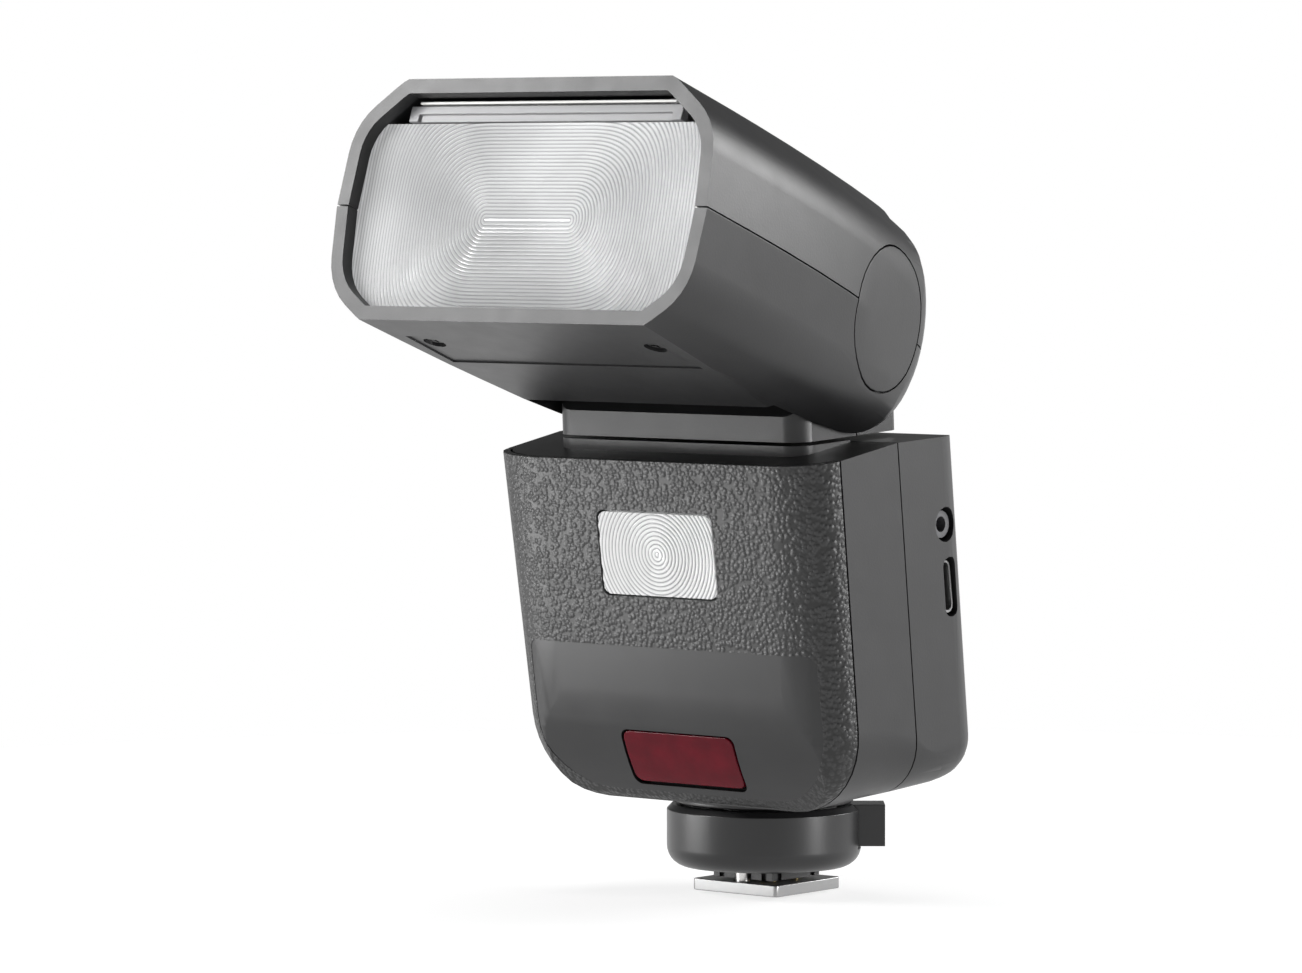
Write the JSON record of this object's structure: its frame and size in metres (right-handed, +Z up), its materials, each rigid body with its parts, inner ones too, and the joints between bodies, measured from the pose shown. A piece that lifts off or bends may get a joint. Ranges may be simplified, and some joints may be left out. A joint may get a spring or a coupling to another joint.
{
  "type": "speedlight flash",
  "caption": "Shoe-mounted camera flash: leaning body with LED lamp, red focus-assist window and control back, under a zoom head that tilts and swivels.",
  "frame": {"origin": "centre of the underside of the accessory-shoe foot", "axes": "+Z up out of the shoe, the light points towards -Y, +X is the side with the sync and USB sockets"},
  "size_m": [0.0796, 0.0874, 0.1396],
  "materials": {
    "shell_plastic": "fine-textured charcoal moulded plastic",
    "leatherette": "pebbled black leatherette",
    "satin_plastic": "satin black moulded plastic",
    "inner_plastic": "plain dark moulded plastic",
    "clear_lens": "clear moulded acrylic with fresnel grooves",
    "red_window": "dark red translucent plastic",
    "screen": "dark glossy display window",
    "steel": "bright machined metal",
    "contact_metal": "gold-plated spring contact",
    "circuit_board": "green solder mask",
    "button_rubber": "soft black silicone rubber",
    "white_card": "matt white plastic sheet",
    "reflector": "vacuum-metallised mirror"
  },
  "bodies": {
    "root": {"front_shell": "shell_plastic", "rear_shell": "shell_plastic", "leather_front": "leatherette", "lower_front_panel": "satin_plastic", "led_lens": "clear_lens", "led_module": "circuit_board", "af_window": "red_window", "af_emitter": "inner_plastic", "main_board": "circuit_board", "main_capacitor": "inner_plastic", "display_module": "screen", "display_cover": "screen", "sync_socket": "inner_plastic", "usb_socket": "steel", "swivel_detent_ring": "steel", "collar_seat": "shell_plastic", "foot_collar": "satin_plastic", "foot_block": "satin_plastic", "foot_plate": "steel"},
    "neck": {"neck_front_shell": "shell_plastic", "neck_rear_shell": "shell_plastic", "swivel_tube": "inner_plastic", "swivel_retainer": "steel"},
    "head": {"head_upper_shell": "shell_plastic", "head_lower_shell": "shell_plastic", "fresnel_lens": "clear_lens", "pivot_cap_left": "shell_plastic", "pivot_cap_right": "shell_plastic", "tilt_shaft": "steel", "tilt_detent_disc": "steel", "zoom_motor": "steel", "guide_rod": "steel", "trigger_board": "circuit_board", "panel_tray": "inner_plastic", "head_screw_left": "steel", "head_screw_right": "steel"},
    "bounce_card": {"bounce_card": "white_card"},
    "wide_panel": {"wide_panel": "clear_lens"},
    "zoom_carriage": {"zoom_reflector": "reflector", "flash_tube": "clear_lens"},
    "lead_screw": {"lead_screw": "steel"},
    "control_dial": {"control_dial": "satin_plastic"},
    "set_button": {"set_button": "button_rubber"},
    "power_switch": {"power_switch": "satin_plastic"},
    "test_button": {"test_button": "red_window"},
    "battery": {"battery_pack": "shell_plastic"},
    "battery_latch": {"battery_latch": "satin_plastic"},
    "lock_lever": {"lock_lever": "satin_plastic"},
    "lock_pin": {"lock_pin": "steel"},
    "function_button_1": {"function_button_1": "button_rubber"},
    "function_button_2": {"function_button_2": "button_rubber"},
    "function_button_3": {"function_button_3": "button_rubber"},
    "function_button_4": {"function_button_4": "button_rubber"},
    "centre_contact": {"centre_contact": "contact_metal"},
    "contact_pin_1": {"contact_pin_1": "contact_metal"},
    "contact_pin_2": {"contact_pin_2": "contact_metal"},
    "contact_pin_3": {"contact_pin_3": "contact_metal"},
    "contact_pin_4": {"contact_pin_4": "contact_metal"}
  },
  "joints": [
    {"name": "head_swivel", "type": "hinge", "parent": "root", "child": "neck", "pos_m": [0, -0.011, 0.07915], "axis": [0, -0.0523, 0.9986], "range_deg": [-150, 180]},
    {"name": "head_tilt", "type": "hinge", "parent": "neck", "child": "head", "pos_m": [0, -0.0108, 0.0992], "axis": [-1, 0, 0], "range_deg": [-19.4, 100.6]},
    {"name": "bounce_card_slide", "type": "slide", "parent": "head", "child": "bounce_card", "axis": [0, -0.9432, 0.3322], "range_m": [0, 0.045]},
    {"name": "wide_panel_slide", "type": "slide", "parent": "head", "child": "wide_panel", "axis": [0, -0.9432, 0.3322], "range_m": [0, 0.03]},
    {"name": "zoom_slide", "type": "slide", "parent": "head", "child": "zoom_carriage", "axis": [0, -0.9432, 0.3322], "range_m": [0, 0.0105]},
    {"name": "lead_screw_turn", "type": "hinge", "parent": "head", "child": "lead_screw", "pos_m": [0.026, -0.05202, 0.10258], "axis": [0, -0.9432, 0.3322], "range_deg": [0, 2521]},
    {"name": "dial_turn", "type": "hinge", "parent": "root", "child": "control_dial", "pos_m": [0, 0.01204, 0.03606], "axis": [0, 0.99, 0.1409], "continuous": true},
    {"name": "set_button_press", "type": "slide", "parent": "root", "child": "set_button", "axis": [0, -0.99, -0.1409], "range_m": [0, 0.0006], "stiffness_N_per_m": 500},
    {"name": "function_button_1_press", "type": "slide", "parent": "root", "child": "function_button_1", "axis": [0, -0.99, -0.1409], "range_m": [0, 0.0005], "stiffness_N_per_m": 500},
    {"name": "function_button_2_press", "type": "slide", "parent": "root", "child": "function_button_2", "axis": [0, -0.99, -0.1409], "range_m": [0, 0.0005], "stiffness_N_per_m": 500},
    {"name": "function_button_3_press", "type": "slide", "parent": "root", "child": "function_button_3", "axis": [0, -0.99, -0.1409], "range_m": [0, 0.0005], "stiffness_N_per_m": 500},
    {"name": "function_button_4_press", "type": "slide", "parent": "root", "child": "function_button_4", "axis": [0, -0.99, -0.1409], "range_m": [0, 0.0005], "stiffness_N_per_m": 500},
    {"name": "power_switch_slide", "type": "slide", "parent": "root", "child": "power_switch", "axis": [1, 0, 0], "range_m": [0, 0.0052]},
    {"name": "test_button_press", "type": "slide", "parent": "root", "child": "test_button", "axis": [0, -0.99, -0.1409], "range_m": [0, 0.0004], "stiffness_N_per_m": 500},
    {"name": "battery_pull", "type": "slide", "parent": "root", "child": "battery", "axis": [-1, 0, 0], "range_m": [0, 0.05]},
    {"name": "battery_latch_press", "type": "slide", "parent": "battery", "child": "battery_latch", "axis": [1, 0, 0], "range_m": [0, 0.0007], "stiffness_N_per_m": 400},
    {"name": "lock_lever_turn", "type": "hinge", "parent": "root", "child": "lock_lever", "pos_m": [0, -0.0007, 0.011], "axis": [0, 0, 1], "range_deg": [0, 80]},
    {"name": "lock_pin_drop", "type": "slide", "parent": "root", "child": "lock_pin", "axis": [0, 0, -1], "range_m": [0, 0.0018]},
    {"name": "centre_contact_press", "type": "slide", "parent": "root", "child": "centre_contact", "axis": [0, 0, 1], "range_m": [0, 0.0004], "stiffness_N_per_m": 300},
    {"name": "contact_pin_1_press", "type": "slide", "parent": "root", "child": "contact_pin_1", "axis": [0, 0, 1], "range_m": [0, 0.0004], "stiffness_N_per_m": 300},
    {"name": "contact_pin_2_press", "type": "slide", "parent": "root", "child": "contact_pin_2", "axis": [0, 0, 1], "range_m": [0, 0.0004], "stiffness_N_per_m": 300},
    {"name": "contact_pin_3_press", "type": "slide", "parent": "root", "child": "contact_pin_3", "axis": [0, 0, 1], "range_m": [0, 0.0004], "stiffness_N_per_m": 300},
    {"name": "contact_pin_4_press", "type": "slide", "parent": "root", "child": "contact_pin_4", "axis": [0, 0, 1], "range_m": [0, 0.0004], "stiffness_N_per_m": 300}
  ],
  "couplings": [
    {"joint": "lead_screw_turn", "follows": "zoom_slide", "rad_per_m": 4188.8},
    {"joint": "lock_pin_drop", "follows": "lock_lever_turn", "m_per_rad": 0.001289}
  ]
}
